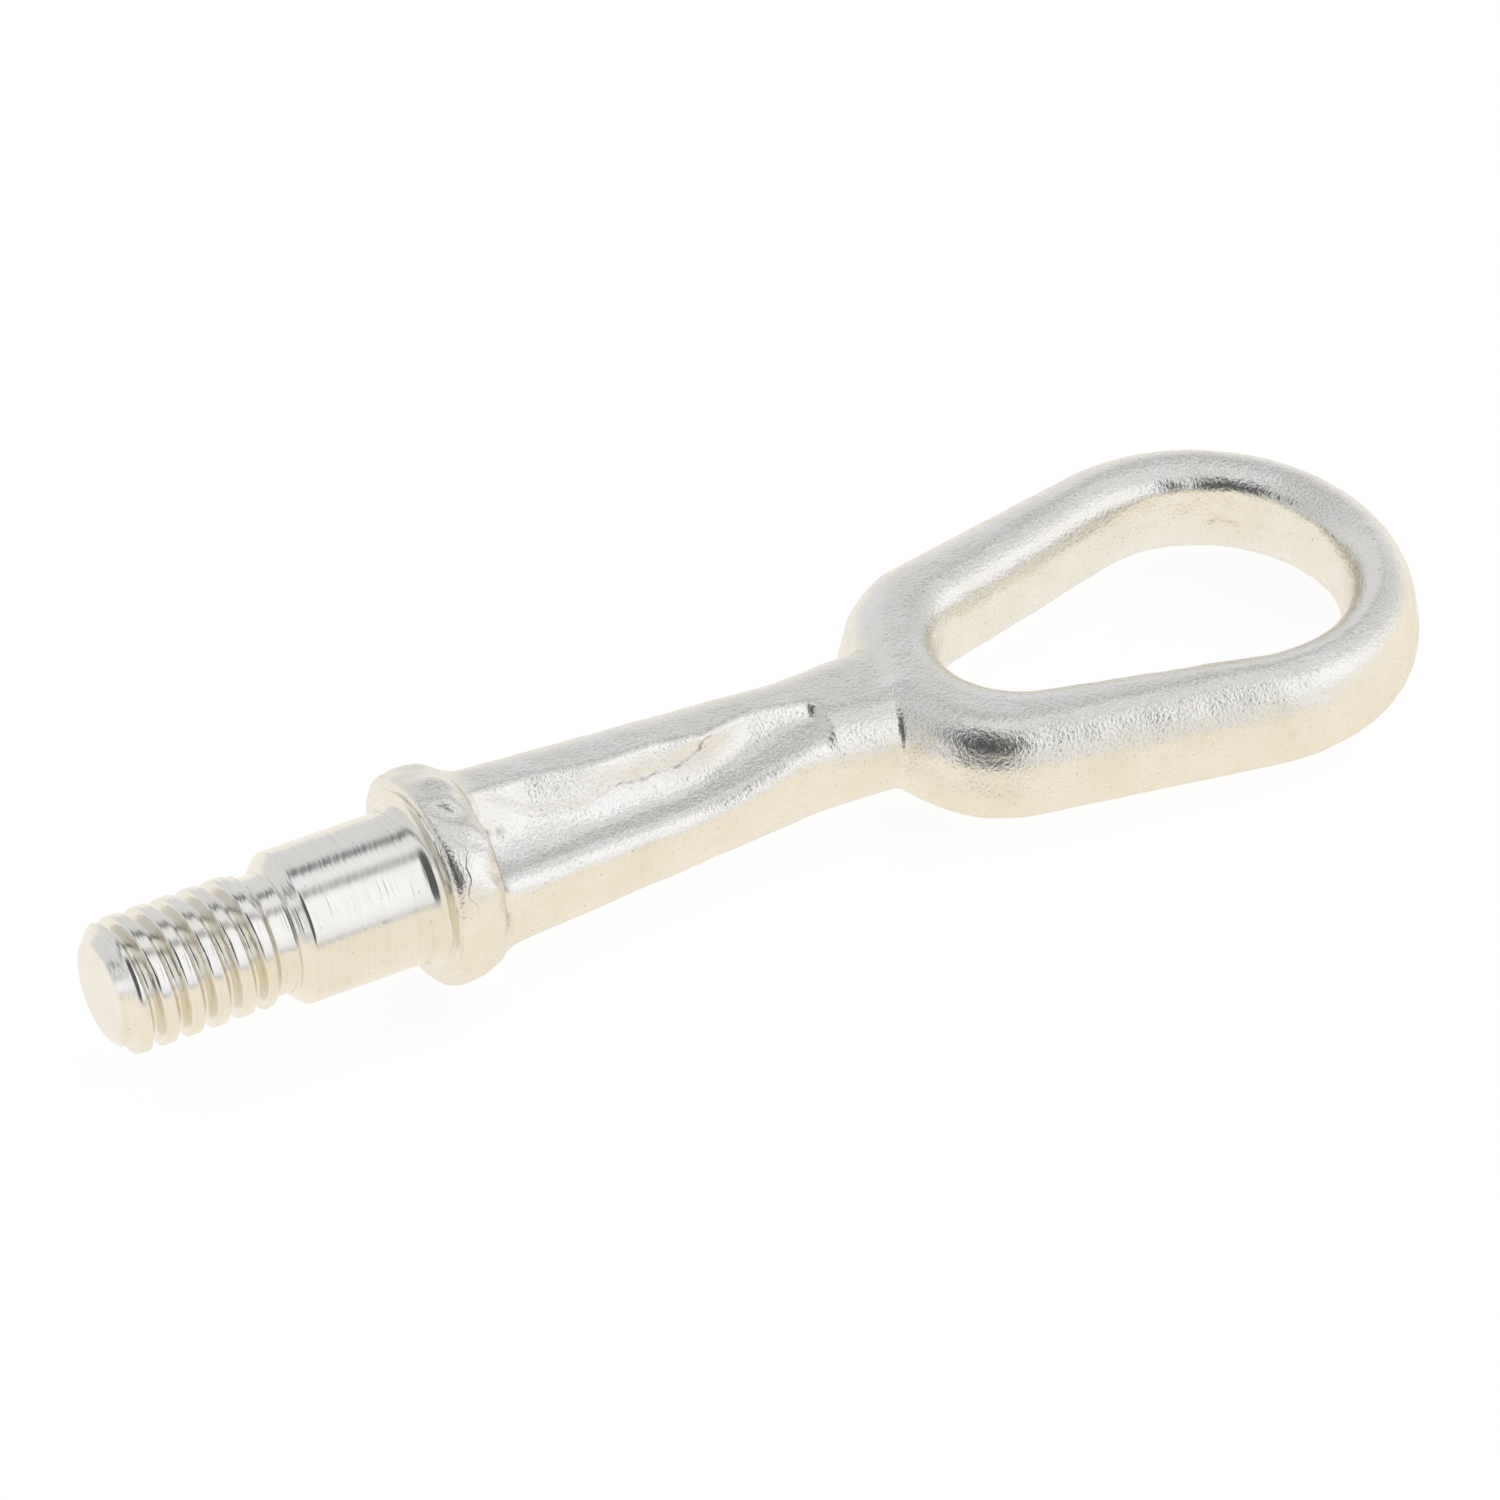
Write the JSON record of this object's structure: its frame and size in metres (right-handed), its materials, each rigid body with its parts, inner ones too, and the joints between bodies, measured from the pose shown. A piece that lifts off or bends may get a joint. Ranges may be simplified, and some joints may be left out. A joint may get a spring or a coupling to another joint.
{
  "type": "tow eye",
  "caption": "Screw-in steel tow eye: a flat teardrop loop on a tapered forged shank, with a collar, a smooth pilot and a coarse threaded stud that screws into a vehicle's towing socket.",
  "frame": {"origin": "centre of the seating face, where the flange stops against the socket's mouth", "axes": "+X along the thread's axis from the stud towards the eye, +Z square to the flat of the eye"},
  "size_m": [0.1736, 0.053, 0.0256],
  "materials": {
    "zinc_steel": "zinc plated, warm silver, grainy on the forged faces and finely turned on the pilot"
  },
  "bodies": {
    "root": {"tow_eye": "zinc_steel"}
  },
  "joints": []
}
